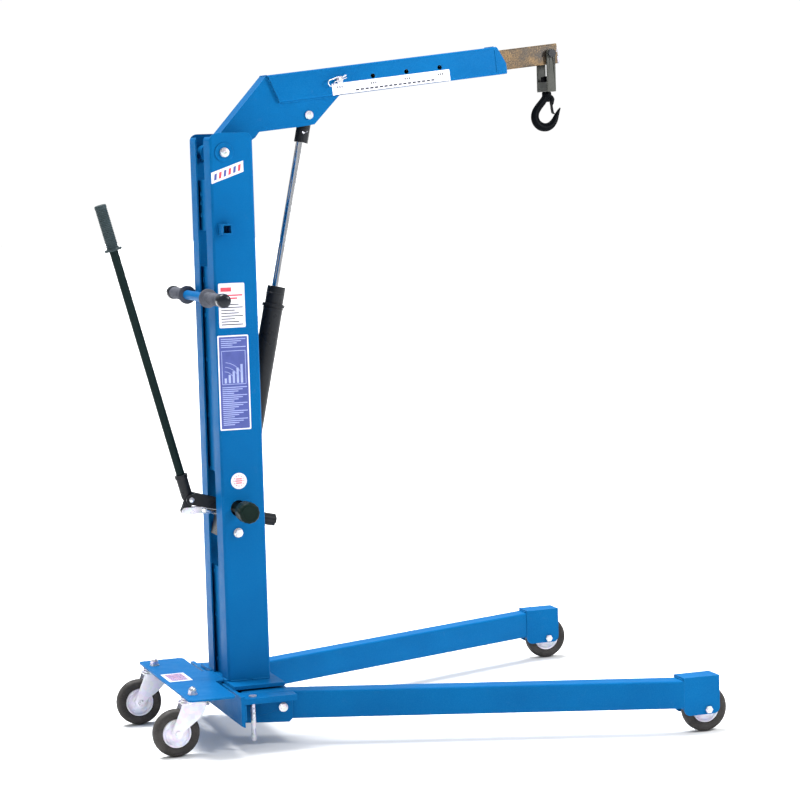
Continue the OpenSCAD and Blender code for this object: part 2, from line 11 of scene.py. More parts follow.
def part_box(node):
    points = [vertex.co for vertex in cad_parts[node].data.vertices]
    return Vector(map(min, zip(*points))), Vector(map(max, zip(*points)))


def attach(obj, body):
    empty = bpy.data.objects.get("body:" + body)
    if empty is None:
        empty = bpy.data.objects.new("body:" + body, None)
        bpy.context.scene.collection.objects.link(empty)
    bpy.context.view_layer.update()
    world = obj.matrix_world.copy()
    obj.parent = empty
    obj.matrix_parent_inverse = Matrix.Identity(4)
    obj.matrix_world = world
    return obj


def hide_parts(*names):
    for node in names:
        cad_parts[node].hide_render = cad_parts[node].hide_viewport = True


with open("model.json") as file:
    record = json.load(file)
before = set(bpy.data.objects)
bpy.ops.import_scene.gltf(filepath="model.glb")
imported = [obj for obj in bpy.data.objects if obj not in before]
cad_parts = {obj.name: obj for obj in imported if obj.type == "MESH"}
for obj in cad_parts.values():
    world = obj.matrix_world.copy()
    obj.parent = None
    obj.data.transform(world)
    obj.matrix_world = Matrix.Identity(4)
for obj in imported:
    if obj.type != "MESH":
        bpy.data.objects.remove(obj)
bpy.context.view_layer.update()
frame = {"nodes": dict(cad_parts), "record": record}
nodes = frame["nodes"]

# ------------------------------------------------------------------ places
# heights and offsets are in millimetres, x counted from the mast's centre line
mast_lo, mast_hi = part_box("mast_side_right")
MAST_X = (mast_lo.x + mast_hi.x) / 2
MAST_SIDE = -mast_lo.y * 1000
BOOM_RISE = math.radians(5.8)
RAM_TILT = math.radians(11.9)
LEVER_TILT = math.radians(14.7)
LEG_SPLAY = math.radians(20.25)
BOOM_AT = (600, 1769)
BOOM_PIVOT = (-20, 1559)
BOOM_HALF = 42
RAM_FOOT = (-17.3, 557.3)
RAM_PIN = (237.2, 1652.1)
RAM_AXIS = 23.3
LEVER_FOOT = (-124, 640)
LEVER_PIN = (-120, 642.1)
KNOB_AT = (-10, 64)
PUSH_BAR = (-78, 1181)
PLATE_TOP = 158.6
LEG_Y = 160.7
# first locking hole along and across the boom, and the step to the next
LOCK_HOLE = (-279.5, 2)
HOLE_PITCH = 96
HOOK_X = 936.6
LATCH_PIN = (951.5, 1681)


def at(x, y, z):
    """Row-frame point, in metres, from millimetres off the mast centre line."""
    return Vector((MAST_X + x / 1000, y / 1000, z / 1000))


def on_boom(u, y, v):
    """Point u along the boom and v above its centre line."""
    s, c = math.sin(BOOM_RISE), math.cos(BOOM_RISE)
    return at(BOOM_AT[0] + u * c - v * s, y, BOOM_AT[1] + u * s + v * c)


def on_ram(x, y, z):
    """Point z up the leaning ram from its foot bolt."""
    s, c = math.sin(RAM_TILT), math.cos(RAM_TILT)
    return at(RAM_FOOT[0] + x * c + z * s, y, RAM_FOOT[1] - x * s + z * c)


def on_lever(x, y, z):
    """Point z up the leaning pump lever."""
    s, c = math.sin(LEVER_TILT), math.cos(LEVER_TILT)
    return at(LEVER_FOOT[0] + x * c - z * s, y, LEVER_FOOT[1] + x * s + z * c)


def on_leg(side, x, y, z):
    """Point along a leg; y grows outwards on both sides (side -1 right, 1 left)."""
    s, c = math.sin(LEG_SPLAY), math.cos(LEG_SPLAY)
    return at(x * c - y * s, side * (LEG_Y + x * s + y * c), z)


def mast_side(u, v, w):
    """Point w proud of the mast's right side."""
    return at(u, -MAST_SIDE - w, v)


def boom_side(u, v, w):
    """Point w proud of the boom's right side."""
    return on_boom(u, -BOOM_HALF - w, v)


def plate_top(u, v, w):
    """Point w above the caster plate, u across the crane and v along it."""
    return at(v, u, PLATE_TOP + w)


# ------------------------------------------------------------------ materials
def node_material(name, metallic=0.0, specular=0.5):
    """Empty material with one shader; gives the material, its tree and the shader."""
    m = bpy.data.materials.new(name)
    m.use_nodes = True
    tree = m.node_tree
    tree.nodes.clear()
    out = tree.nodes.new("ShaderNodeOutputMaterial")
    shader = tree.nodes.new("ShaderNodeBsdfPrincipled")
    tree.links.new(shader.outputs[0], out.inputs[0])
    shader.inputs["Metallic"].default_value = metallic
    shader.inputs["Specular IOR Level"].default_value = specular
    return m, tree, shader


def coords(tree, stretch=(1, 1, 1), turn=(0, 0, 0)):
    """The piece's own coordinates, in metres."""
    source = tree.nodes.new("ShaderNodeTexCoord")
    mapping = tree.nodes.new("ShaderNodeMapping")
    mapping.inputs["Scale"].default_value = stretch
    mapping.inputs["Rotation"].default_value = turn
    tree.links.new(source.outputs["Object"], mapping.inputs["Vector"])
    return mapping.outputs["Vector"]


def noise(tree, vector, scale, detail=3.0, rough=0.55):
    """Soft noise from 0 to 1; scale is in cycles a metre."""
    n = tree.nodes.new("ShaderNodeTexNoise")
    n.inputs["Scale"].default_value = scale
    n.inputs["Detail"].default_value = detail
    n.inputs["Roughness"].default_value = rough
    tree.links.new(vector, n.inputs["Vector"])
    return n.outputs["Fac"]


def cells(tree, vector, scale):
    """Cells, each of its own random colour."""
    n = tree.nodes.new("ShaderNodeTexVoronoi")
    n.inputs["Scale"].default_value = scale
    tree.links.new(vector, n.inputs["Vector"])
    return n.outputs["Color"]


def ramp(tree, fac, stops):
    """Colour ramp; each stop is (place, grey or colour)."""
    n = tree.nodes.new("ShaderNodeValToRGB")
    elements = n.color_ramp.elements
    while len(elements) < len(stops):
        elements.new(0.5)
    for e, (pos, value) in zip(elements, stops):
        e.position = pos
        e.color = (*value, 1) if isinstance(value, tuple) else (value, value, value, 1)
    tree.links.new(fac, n.inputs["Fac"])
    return n.outputs["Color"]


def mix(tree, fac, a, b, blend="MIX"):
    """Blend of a and b; each argument is a number, a colour or a socket."""
    n = tree.nodes.new("ShaderNodeMix")
    n.data_type = "RGBA"
    n.blend_type = blend
    for socket, value in ((n.inputs[0], fac), (n.inputs[6], a), (n.inputs[7], b)):
        if isinstance(value, (int, float)):
            socket.default_value = value
        elif isinstance(value, tuple):
            socket.default_value = (*value, 1)
        else:
            tree.links.new(value, socket)
    return n.outputs[2]


def bump(tree, shader, *layers):
    """Each layer is (height, strength, distance)."""
    normal = None
    for height, strength, distance in layers:
        n = tree.nodes.new("ShaderNodeBump")
        n.inputs["Strength"].default_value = strength
        n.inputs["Distance"].default_value = distance
        tree.links.new(height, n.inputs["Height"])
        if normal is not None:
            tree.links.new(normal, n.inputs["Normal"])
        normal = n.outputs["Normal"]
    tree.links.new(normal, shader.inputs["Normal"])


def edge_mask(tree, radius, low, high):
    """1 along sharp outer edges, 0 on flats."""
    bevel = tree.nodes.new("ShaderNodeBevel")
    bevel.samples = 4
    bevel.inputs["Radius"].default_value = radius
    geo = tree.nodes.new("ShaderNodeNewGeometry")
    dot = tree.nodes.new("ShaderNodeVectorMath")
    dot.operation = "DOT_PRODUCT"
    tree.links.new(bevel.outputs["Normal"], dot.inputs[0])
    tree.links.new(geo.outputs["Normal"], dot.inputs[1])
    return ramp(tree, dot.outputs["Value"], ((low, 1.0), (high, 0.0)))


def painted(name, dark, light, wear_and_highlight, rough=(0.36, 0.48), peel=700, specular=0.03):
    """Sprayed or powder-coated metal: orange peel, soft blotches, and edges lightened towards a paler colour,
    partly worn paint and partly a painted edge highlight.
    """
    m, tree, shader = node_material(name, specular=specular)
    vector = coords(tree)
    blotch = noise(tree, vector, 7, 4)
    grain = noise(tree, vector, 420, 2)
    colour = ramp(tree, blotch, ((0.3, dark), (0.72, light)))
    colour = mix(tree, ramp(tree, grain, ((0.35, 0.0), (0.7, 0.12))), colour, wear_and_highlight)
    dust = ramp(tree, noise(tree, vector, 38, 5, 0.65), ((0.62, 0.0), (0.85, 0.025)))
    colour = mix(tree, dust, colour, (0.62, 0.66, 0.70))
    # the paler colour along sharp edges is partly worn paint and partly a painted highlight on the edges
    edges = mix(tree, 1.0, edge_mask(tree, 0.0016, 0.80, 0.97),
                ramp(tree, noise(tree, vector, 60, 4), ((0.35, 0.15), (0.7, 0.75))), "MULTIPLY")
    colour = mix(tree, edges, colour, wear_and_highlight)
    tree.links.new(colour, shader.inputs["Base Color"])
    tree.links.new(ramp(tree, noise(tree, vector, 26, 4), ((0.3, rough[0]), (0.75, rough[1]))),
                   shader.inputs["Roughness"])
    bump(tree, shader, (noise(tree, vector, peel, 1), 0.10, 0.0003),
         (noise(tree, vector, 5, 2), 0.12, 0.0012))
    return m


def plated(name, tint, shade, rough=(0.22, 0.42), metallic=0.6):
    """Bright zinc: cells of slightly different tint, fine scratches, hazy patches."""
    m, tree, shader = node_material(name, metallic=metallic)
    vector = coords(tree)
    cell = cells(tree, vector, 90)
    haze = noise(tree, vector, 30, 5, 0.6)
    colour = ramp(tree, haze, ((0.3, shade), (0.7, tint)))
    colour = mix(tree, 0.10, colour, cell)
    yellow = ramp(tree, noise(tree, vector, 14, 3), ((0.55, 0.0), (0.85, 0.18)))
    colour = mix(tree, yellow, colour, (0.74, 0.70, 0.60))
    tree.links.new(colour, shader.inputs["Base Color"])
    lines = noise(tree, vector, 900, 2)
    tree.links.new(ramp(tree, noise(tree, vector, 55, 4), ((0.3, rough[0]), (0.75, rough[1]))),
                   shader.inputs["Roughness"])
    bump(tree, shader, (lines, 0.10, 0.0002), (haze, 0.12, 0.0005))
    return m


def rubbery(name, dark, light, rough=(0.55, 0.8), scuff=(0.20, 0.20, 0.20), scuff_amount=0.3,
            specular=0.25):
    """Rubber or soft plastic: fine grain, soft blotches and paler scuffs."""
    m, tree, shader = node_material(name, specular=specular)
    vector = coords(tree)
    colour = ramp(tree, noise(tree, vector, 24, 5), ((0.3, dark), (0.75, light)))
    scuffs = ramp(tree, noise(tree, coords(tree, (1, 1, 3)), 130, 5, 0.7),
                  ((0.55, 0.0), (0.8, scuff_amount)))
    colour = mix(tree, scuffs, colour, scuff)
    tree.links.new(colour, shader.inputs["Base Color"])
    tree.links.new(ramp(tree, noise(tree, vector, 90, 4), ((0.3, rough[0]), (0.7, rough[1]))),
                   shader.inputs["Roughness"])
    bump(tree, shader, (noise(tree, vector, 1400, 2), 0.25, 0.0003),
         (noise(tree, vector, 60, 4), 0.15, 0.0006))
    return m


def chrome_material():
    """Hard chrome with fine streaks along the ram."""
    m, tree, shader = node_material("hard_chrome", metallic=1.0)
    along = coords(tree, (1, 1, 0.04), (0, -RAM_TILT, 0))
    vector = coords(tree)
    film = noise(tree, vector, 20, 4)
    colour = ramp(tree, film, ((0.3, (0.72, 0.72, 0.74)), (0.75, (0.88, 0.88, 0.89))))
    tree.links.new(colour, shader.inputs["Base Color"])
    streak = noise(tree, along, 600, 3)
    tree.links.new(ramp(tree, streak, ((0.3, 0.08), (0.8, 0.24))), shader.inputs["Roughness"])
    bump(tree, shader, (streak, 0.06, 0.0002))
    return m


def bare_steel_material():
    """Unpainted bar: mottled mill scale under a brown oil film, speckled all over."""
    m, tree, shader = node_material("bare_steel_bar", metallic=0.25, specular=0.35)
    vector = coords(tree)
    patch = noise(tree, vector, 24, 6, 0.62)
    scale = ramp(tree, patch, ((0.38, (0.030, 0.023, 0.018)), (0.5, (0.085, 0.054, 0.026)),
                               (0.62, (0.190, 0.115, 0.048))))
    speck = noise(tree, vector, 360, 4, 0.7)
    colour = mix(tree, ramp(tree, speck, ((0.40, 0.80), (0.54, 0.0))), scale, (0.016, 0.013, 0.011))
    colour = mix(tree, ramp(tree, speck, ((0.55, 0.0), (0.68, 0.60))), colour, (0.36, 0.25, 0.13))
    tree.links.new(colour, shader.inputs["Base Color"])
    tree.links.new(ramp(tree, patch, ((0.3, 0.42), (0.75, 0.62))), shader.inputs["Roughness"])
    bump(tree, shader, (speck, 0.20, 0.0004), (patch, 0.15, 0.0008))
    return m


def vinyl(name, tint, shade, rough=0.38):
    """Printed self-adhesive film."""
    m, tree, shader = node_material(name, specular=0.4)
    vector = coords(tree)
    colour = ramp(tree, noise(tree, vector, 45, 4), ((0.35, shade), (0.65, tint)))
    tree.links.new(colour, shader.inputs["Base Color"])
    tree.links.new(ramp(tree, noise(tree, vector, 160, 2), ((0.3, rough - 0.06), (0.7, rough + 0.08))),
                   shader.inputs["Roughness"])
    bump(tree, shader, (noise(tree, vector, 90, 3), 0.08, 0.0002))
    return m


# the last colour is the pale blue of worn edges, which also serves as a painted highlight along the edges
BLUE = painted("blue_powder_coat", (0.000, 0.084, 0.252), (0.000, 0.101, 0.288), (0.04, 0.27, 0.54))
BLACK = painted("black_enamel", (0.006, 0.007, 0.009), (0.013, 0.015, 0.018), (0.05, 0.05, 0.055),
                rough=(0.24, 0.38), specular=0.16)
FORGED = painted("black_forging", (0.001, 0.001, 0.002), (0.002, 0.003, 0.004), (0.004, 0.008, 0.010),
                 rough=(0.34, 0.50), peel=260, specular=0.03)
STRAP = painted("oiled_strap_steel", (0.022, 0.025, 0.024), (0.056, 0.058, 0.050), (0.16, 0.15, 0.12),
                rough=(0.38, 0.55), peel=320, specular=0.15)
HANDLE = painted("handle_enamel", (0.004, 0.010, 0.010), (0.007, 0.016, 0.016), (0.035, 0.055, 0.055),
                 rough=(0.36, 0.50), specular=0.04)
ZINC = plated("bright_zinc", (0.66, 0.66, 0.72), (0.44, 0.44, 0.50), metallic=0.75)
PRESSED = plated("pressed_zinc", (0.80, 0.78, 0.87), (0.66, 0.64, 0.74), (0.36, 0.54), metallic=0.15)
GRIP = rubbery("grip_rubber_mat", (0.045, 0.050, 0.066), (0.085, 0.090, 0.112),
               scuff=(0.24, 0.25, 0.30), scuff_amount=0.25)
GRIP_CAP = rubbery("grip_rubber_gloss", (0.006, 0.008, 0.012), (0.012, 0.015, 0.020), (0.16, 0.26),
                   (0.05, 0.05, 0.06), 0.08)
LEVER_GRIP = rubbery("lever_grip_rubber", (0.016, 0.030, 0.034), (0.034, 0.052, 0.058),
                     scuff=(0.14, 0.18, 0.19), scuff_amount=0.2)
TYRE = rubbery("tyre_rubber", (0.020, 0.018, 0.017), (0.046, 0.042, 0.040),
               scuff=(0.16, 0.15, 0.14), scuff_amount=0.35)
KNOB = rubbery("knob_plastic", (0.001, 0.007, 0.005), (0.003, 0.013, 0.010), (0.35, 0.5),
               (0.03, 0.05, 0.045), 0.10, specular=0.10)
CHROME = chrome_material()
BARE = bare_steel_material()
WHITE = vinyl("white_vinyl", (0.76, 0.76, 0.83), (0.66, 0.66, 0.74))
VIOLET = vinyl("violet_vinyl", (0.058, 0.078, 0.29), (0.048, 0.066, 0.25))
INK = vinyl("dark_ink", (0.030, 0.032, 0.045), (0.020, 0.021, 0.030))
RED = vinyl("red_ink", (0.62, 0.06, 0.09), (0.52, 0.045, 0.07))
PALE = vinyl("pale_ink", (0.34, 0.39, 0.66), (0.28, 0.33, 0.60))

BY_SLOT = {"blue_paint": BLUE, "zinc_plate": ZINC, "black_paint": BLACK, "handle_paint": HANDLE,
           "grip_rubber": GRIP, "tyre": TYRE, "chrome": CHROME, "bare_steel": BARE}
BY_NODE = {"shackle": STRAP, "hook": FORGED, "caster_fork_right": PRESSED,
           "caster_fork_left": PRESSED, "release_knob": KNOB, "handle_grip": LEVER_GRIP}
slot_of = {p["node"]: p["material_slot"] for p in frame["record"]["subparts"]}


# ------------------------------------------------------------------ CAD nodes
def soft_shading():
    """Joins a CAD mesh's seams and shades it smooth across shallow angles."""
    g = bpy.data.node_groups.new("soft_shading", "GeometryNodeTree")
    g.interface.new_socket("Mesh", in_out="INPUT", socket_type="NodeSocketGeometry")
    g.interface.new_socket("Mesh", in_out="OUTPUT", socket_type="NodeSocketGeometry")
    start, end = g.nodes.new("NodeGroupInput"), g.nodes.new("NodeGroupOutput")
    drop = g.nodes.new("GeometryNodeRemoveAttribute")
    drop.inputs["Name"].default_value = "custom_normal"
    merge = g.nodes.new("GeometryNodeMergeByDistance")
    merge.inputs["Distance"].default_value = 0.00001
    smooth = g.nodes.new("GeometryNodeSetShadeSmooth")
    sharp = g.nodes.new("GeometryNodeSetShadeSmooth")
    sharp.domain = "EDGE"
    sharp.inputs["Shade Smooth"].default_value = False
    angle = g.nodes.new("GeometryNodeInputMeshEdgeAngle")
    above = g.nodes.new("FunctionNodeCompare")
    above.operation = "GREATER_THAN"
    above.inputs["B"].default_value = math.radians(32)
    g.links.new(start.outputs[0], drop.inputs["Geometry"])
    g.links.new(drop.outputs[0], merge.inputs["Geometry"])
    g.links.new(merge.outputs[0], smooth.inputs["Geometry"])
    g.links.new(smooth.outputs[0], sharp.inputs["Geometry"])
    g.links.new(angle.outputs["Unsigned Angle"], above.inputs["A"])
    g.links.new(above.outputs[0], sharp.inputs["Selection"])
    g.links.new(sharp.outputs[0], end.inputs[0])
    return g


SOFT = soft_shading()
EDGE_RADIUS = {"wheel_bracket_right": 0.0022, "wheel_bracket_left": 0.0022, "caster_plate": 0.0014,
               "pump_block": 0.002, "lever_clevis": 0.0008, "mast_side_right": 0.0009,
               "mast_side_left": 0.0009,
               "shackle": 0.0022}
for name, obj in nodes.items():
    obj.data.materials.clear()
    obj.data.materials.append(BY_NODE.get(name) or BY_SLOT[slot_of[name]])
    obj.modifiers.new("soft_shading", "NODES").node_group = SOFT
    if name == "extension_bar":
        continue
    edge = obj.modifiers.new("edge", "BEVEL")
    edge.width = EDGE_RADIUS.get(name, 0.0007)
    edge.segments = 2
    edge.limit_method = "ANGLE"
    edge.angle_limit = math.radians(40)
    edge.harden_normals = True
    edge.use_clamp_overlap = True


# ------------------------------------------------------------------ mesh building
# length of one ripple of a weld bead
RIPPLE = 3.2


class Shape:
    """Collects mesh parts into one piece."""

    def __init__(self):
        self.verts, self.faces = [], []

    def add(self, verts, faces):
        base = len(self.verts)
        self.verts += [Vector(v) for v in verts]
        self.faces += [tuple(base + i for i in f) for f in faces]
        return self

    def loft(self, rings, closed=False, caps=True):
        """Skin over rings of points that all have the same count."""
        count = len(rings[0])
        verts = [p for ring in rings for p in ring]
        faces = []
        for r in range(len(rings) if closed else len(rings) - 1):
            a, b = r * count, (r + 1) % len(rings) * count
            faces += [(a + i, a + (i + 1) % count, b + (i + 1) % count, b + i) for i in range(count)]
        if caps and not closed:
            faces.append(tuple(reversed(range(count))))
            faces.append(tuple((len(rings) - 1) * count + i for i in range(count)))
        return self.add(verts, faces)

    def lathe(self, base, axis, profile, steps=48, wobble=None):
        """Profile of (radius, distance along axis), turned round axis through base."""
        axis = Vector(axis).normalized()
        side = axis.orthogonal().normalized()
        other = axis.cross(side)
        rings = []
        for radius, along in profile:
            ring = []
            for i in range(steps):
                a = 2 * math.pi * i / steps
                r = radius * (wobble(a, along) if wobble else 1)
                spoke = side * math.cos(a) + other * math.sin(a)
                ring.append(Vector(base) + axis * (along / 1000) + spoke * (r / 1000))
            rings.append(ring)
        return self.loft(rings)

    def rod(self, path, radius, sides=10, closed=False, flat=1.0):
        """Round bar along path; radius in millimetres, one number or one for each point."""
        path = [Vector(p) for p in path]
        n = len(path)
        radii = radius if isinstance(radius, (list, tuple)) else [radius] * n
        normal = None
        rings = []
        for i, p in enumerate(path):
            ahead = path[(i + 1) % n] if closed or i < n - 1 else p
            behind = path[i - 1] if closed or i > 0 else p
            tangent = (ahead - behind).normalized()
            if normal is None:
                normal = tangent.orthogonal().normalized()
            normal = (normal - tangent * normal.dot(tangent)).normalized()
            other = tangent.cross(normal)
            rings.append([p + (normal * math.cos(a) + other * math.sin(a) * flat) * (radii[i] / 1000)
                          for a in (2 * math.pi * k / sides for k in range(sides))])
        return self.loft(rings, closed=closed)

    def prism(self, place, outline, low, high):
        """Outline of (u, v) points spread from w = low to w = high by place(u, v, w)."""
        return self.loft([[place(u, v, low) for u, v in outline], [place(u, v, high) for u, v in outline]])

    def bead(self, a, b, radius):
        """Rippled weld bead from a to b, three rings to each ripple."""
        a, b = Vector(a), Vector(b)
        count = max(6, int((b - a).length * 1000 / (RIPPLE / 3)))
        path = [a.lerp(b, i / count) for i in range(count + 1)]
        radii = [radius * (0.84 + 0.16 * abs(math.sin(math.pi * i / 3)))
                 * min(1.0, 0.45 + 0.3 * min(i, count - i)) for i in range(count + 1)]
        return self.rod(path, radii, 8)

    def make(self, name, body, material, slot, sharp=38, replaces=(), subdivide=0):
        """Turns the shape into a piece that rides on body; edges over sharp degrees stay crisp."""
        mesh = bpy.data.meshes.new(name)
        mesh.from_pydata([tuple(v) for v in self.verts], [], self.faces)
        mesh.update()
        made = bpy.data.objects.new(name, mesh)
        bpy.context.scene.collection.objects.link(made)
        b = bmesh.new()
        b.from_mesh(mesh)
        bmesh.ops.recalc_face_normals(b, faces=b.faces)
        b.to_mesh(mesh)
        b.free()
        mesh.polygons.foreach_set("use_smooth", [True] * len(mesh.polygons))
        mesh.set_sharp_from_angle(angle=math.radians(sharp))
        mesh.materials.append(material)
        if subdivide:
            made.modifiers.new("smooth", "SUBSURF").levels = subdivide
            made.modifiers["smooth"].render_levels = subdivide
        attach(made, body)
        if replaces:
            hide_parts(*replaces)
        return made


def circle(cx, cy, r, count=32, start=0.0, sweep=2 * math.pi):
    """Points of a full circle, or of an arc with both its ends."""
    step = sweep / (count if sweep > 6.28 else count - 1)
    return [(cx + r * math.cos(start + step * i), cy + r * math.sin(start + step * i)) for i in range(count)]


def rect(u0, v0, u1, v1, r=0.0):
    """Rectangle, with corners of radius r."""
    if not r:
        return [(u0, v0), (u1, v0), (u1, v1), (u0, v1)]
    out = []
    corners = ((u1 - r, v0 + r, -90), (u1 - r, v1 - r, 0), (u0 + r, v1 - r, 90), (u0 + r, v0 + r, 180))
    for cx, cy, start in corners:
        out += circle(cx, cy, r, 5, math.radians(start), math.pi / 2)
    return out


# ------------------------------------------------------------------ camera, light, floor
CAM = Vector((-1.7645 + MAST_X, -6.4690, 1.5445))
YAW, PITCH, ROLL = (math.radians(a) for a in (19.152, -5.61, -1.641))
look = Vector((math.sin(YAW) * math.cos(PITCH), math.cos(YAW) * math.cos(PITCH), math.sin(PITCH)))
level = Vector((math.cos(YAW), -math.sin(YAW), 0))
upright = level.cross(look)
right = level * math.cos(ROLL) + upright * math.sin(ROLL)
up = upright * math.cos(ROLL) - level * math.sin(ROLL)
camera = bpy.data.objects.new("camera", bpy.data.cameras.new("camera"))
camera.matrix_world = Matrix(((right.x, up.x, -look.x, CAM.x), (right.y, up.y, -look.y, CAM.y),
                              (right.z, up.z, -look.z, CAM.z), (0, 0, 0, 1)))
camera.data.lens = 113.11
camera.data.sensor_width = 36
bpy.context.scene.collection.objects.link(camera)
bpy.context.scene.camera = camera
bpy.context.scene.view_settings.view_transform = "Standard"

world = bpy.data.worlds.new("studio")
bpy.context.scene.world = world
world.use_nodes = True
sky = world.node_tree
sky_seen = sky.nodes["Background"]
sky_seen.inputs[0].default_value = (1, 1, 1, 1)
sky_seen.inputs[1].default_value = 1.02
# light for everything but the view itself: a pale ceiling, a mid front, a back wall brighter on the right
sky_light = sky.nodes.new("ShaderNodeBackground")
sky_way = sky.nodes.new("ShaderNodeSeparateXYZ")
sky.links.new(sky.nodes.new("ShaderNodeTexCoord").outputs["Generated"], sky_way.inputs[0])


def sky_ramp(axis, stops):
    """Value or colour that changes with the way's share of one axis, from -1 to 1."""
    half = sky.nodes.new("ShaderNodeMath")
    half.operation = "MULTIPLY_ADD"
    half.inputs[1].default_value = 0.5
    half.inputs[2].default_value = 0.5
    sky.links.new(sky_way.outputs[axis], half.inputs[0])
    return ramp(sky, half.outputs[0], stops)


back_wall = sky_ramp("X", ((0.45, (0.10, 0.11, 0.12)), (0.62, (0.46, 0.47, 0.48))))
walls = mix(sky, sky_ramp("Y", ((0.30, 1.0), (0.80, 0.0))), back_wall, (0.38, 0.39, 0.40))
ceiling = ramp(sky, sky_way.outputs["Z"], ((0.08, 0.0), (0.55, 1.0)))
sky.links.new(mix(sky, ceiling, walls, (0.92, 0.94, 0.96)), sky_light.inputs[0])
sky_path = sky.nodes.new("ShaderNodeLightPath")
sky_mix = sky.nodes.new("ShaderNodeMixShader")
sky.links.new(sky_path.outputs["Is Camera Ray"], sky_mix.inputs[0])
sky.links.new(sky_light.outputs[0], sky_mix.inputs[1])
sky.links.new(sky_seen.outputs[0], sky_mix.inputs[2])
sky.links.new(sky_mix.outputs[0], sky.nodes["World Output"].inputs["Surface"])


def area_light(name, place, target, size, power):
    """Round lamp at place that faces target."""
    lamp = bpy.data.lights.new(name, "AREA")
    lamp.shape = "DISK"
    lamp.size = size
    lamp.energy = power
    obj = bpy.data.objects.new(name, lamp)
    obj.location = place
    obj.rotation_mode = "QUATERNION"
    obj.rotation_quaternion = (Vector(target) - Vector(place)).to_track_quat("-Z", "Y")
    bpy.context.scene.collection.objects.link(obj)


sun = bpy.data.objects.new("key", bpy.data.lights.new("key", "SUN"))
sun.data.energy = 5.8
sun.data.angle = math.radians(32)
sun.rotation_mode = "QUATERNION"
sun.rotation_quaternion = Vector((0.17, -0.28, -0.94)).to_track_quat("-Z", "Y")
bpy.context.scene.collection.objects.link(sun)
area_light("front_right", (4.2, -3.6, 3.0), (0.3, 0, 1.2), 1.6, 9)
area_light("boom_end", (1.7, -1.9, 2.3), (0.45, 0, 1.8), 0.6, 62)

floor_mesh = bpy.data.meshes.new("floor")
floor_mesh.from_pydata([(-40, -40, 0), (40, -40, 0), (40, 40, 0), (-40, 40, 0)], [], [(0, 1, 2, 3)])
floor_obj = bpy.data.objects.new("floor", floor_mesh)
bpy.context.scene.collection.objects.link(floor_obj)
floor_obj.location.z = -0.0005
floor_mat, floor_tree, floor_shader = node_material("pale_floor", specular=0.1)
floor_tree.links.new(ramp(floor_tree, noise(floor_tree, coords(floor_tree), 3, 3),
                          ((0.3, 0.80), (0.7, 0.83))), floor_shader.inputs["Base Color"])
floor_shader.inputs["Roughness"].default_value = 0.9
floor_mesh.materials.append(floor_mat)


# ------------------------------------------------------------------ welds
welds = Shape()
for side in (-1, 1):
    # short stitches between the rear lips and the webs
    for z in (196, 319, 437, 716, 860, 1010, 1130, 1223, 1395, 1427, 1451):
        welds.bead(at(-47, side * 43, z - 6), at(-47, side * 43, z + 6), 2.2)
    for x0, x1 in ((-54, -8), (6, 54)):
        welds.bead(at(x0, side * (MAST_SIDE + 1), 161.5), at(x1, side * (MAST_SIDE + 1), 161.5), 3.0)
    welds.bead(at(-60, side * 60, 161.5), at(-60, side * 96, 161.5), 3.0)
    for z in (1346, 1374):
        welds.bead(at(-44, side * (MAST_SIDE + 1), z), at(-16, side * (MAST_SIDE + 1), z), 2.2)
    for z in (1171.5, 1190.5):
        welds.bead(at(-60, side * 48, z), at(-60, side * 76, z), 2.2)
    welds.bead(at(79, side * 92, 149.5), at(79, side * 150, 149.5), 2.8)
    welds.bead(at(-56, side * 258, 127), at(-56, side * 258, 84), 2.6)
    for off in (-34.5, 34.5):
        welds.bead(on_leg(side, 2, off, 127.5), on_leg(side, 60, off, 127.5), 2.6)
welds.make("frame_welds", "frame", BLUE, "blue_paint")

boom_welds = Shape()
for side in (-1, 1):
    boom_welds.bead(on_boom(-446, side * 34, -38.8), on_boom(-286, side * 34, -38.8), 2.4)
    boom_welds.bead(on_boom(-473, side * 34, 30), on_boom(-452, side * 34, -34), 2.6)
    boom_welds.bead(on_boom(173.5, side * 42, 30), on_boom(173.5, side * 42, -32), 2.2)
boom_welds.bead(on_boom(173.5, -34, 38), on_boom(173.5, 34, 38), 2.2)
boom_welds.bead(on_boom(-475.4, -32, 37), on_boom(-475.4, 32, 37), 2.4)
boom_welds.make("boom_welds", "boom", BLUE, "blue_paint")

for side, tag in ((-1, "right"), (1, "left")):
    leg_welds = Shape()
    lo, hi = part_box("wheel_bracket_" + tag)
    back = (lo.x - MAST_X) * 1000
    mid = ((lo.y + hi.y) / 2) * 1000
    leg_welds.bead(at(back - 0.5, mid - 24, 146), at(back - 0.5, mid + 24, 146), 2.8)
    leg_welds.bead(at(back - 0.5, mid - 27, 140), at(back - 0.5, mid - 27, 74), 2.6)
    leg_welds.bead(at(back - 0.5, mid + 27, 140), at(back - 0.5, mid + 27, 74), 2.6)
    leg_welds.make("leg_welds_" + tag, "leg_" + tag, BLUE, "blue_paint")


# ------------------------------------------------------------------ wheels
TYRE_HALF = [(38.3, 0), (38.3, 11.5), (39.4, 13.4), (41.2, 14.3), (43.6, 14.9), (47, 16.6), (51, 17.6),
             (54.6, 17.5), (57.6, 16.2), (59.8, 13.8), (61.2, 10.4), (62.0, 6.2), (62.35, 2.6),
             (62.45, 0.5)]
RIM_HALF = [(37.9, 0), (37.9, 12.6), (37.2, 14.2), (35.9, 14.9), (34.6, 14.4), (33.9, 12.8), (33.2, 9.4),
            (31.6, 6.9), (28.6, 5.9), (25.6, 6.2), (23.2, 7.8), (21.4, 10.2), (19.6, 11.6), (17.4, 11.9),
            (16.6, 12.6), (16.4, 17.6), (15.4, 18.8), (11.4, 19.3), (10.6, 18.6), (8.2, 18.6)]


def ring_profile(half):
    """Closed section symmetric about the wheel's middle plane."""
    front = list(half)
    back = [(r, -h) for r, h in reversed(half) if h > 0]
    return front + back


